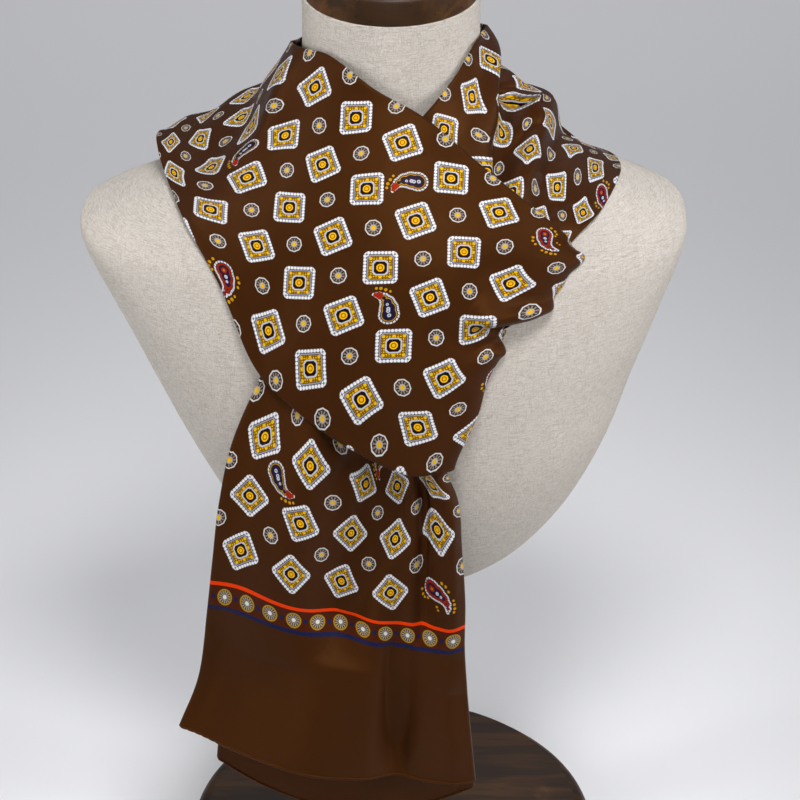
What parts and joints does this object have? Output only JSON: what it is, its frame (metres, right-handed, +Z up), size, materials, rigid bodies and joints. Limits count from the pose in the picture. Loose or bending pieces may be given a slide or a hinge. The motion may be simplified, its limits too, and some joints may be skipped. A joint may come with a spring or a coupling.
{
  "type": "skinny silk scarf on a linen half-bust dress form",
  "caption": "Long narrow printed silk scarf wound round the neck of a limbless linen dress form, crossed on the chest with both ends hanging, on a turned wooden base.",
  "frame": {"origin": "centre of the stand base's underside, on the axis of the pole and the neck", "axes": "+Z up, -Y towards the front of the form, +X to the viewer's right"},
  "size_m": [0.425, 0.316, 0.744],
  "materials": {
    "printed_silk": "soft satin sheen, printed foulard squares, medallions and paisleys",
    "linen": "matt plain weave with slubs and flecks",
    "turned_wood": "dark stain, satin lacquer",
    "pole_wood": "dark stain, satin lacquer"
  },
  "bodies": {
    "root": {"dress_form": "linen", "neck_cap": "turned_wood", "stand_base": "turned_wood", "stand_pole": "pole_wood", "scarf_neck_back": "printed_silk", "scarf_chest_wrap": "printed_silk", "scarf_shoulder_band": "printed_silk", "scarf_front_tail": "printed_silk", "scarf_under_tail": "printed_silk"}
  },
  "joints": []
}
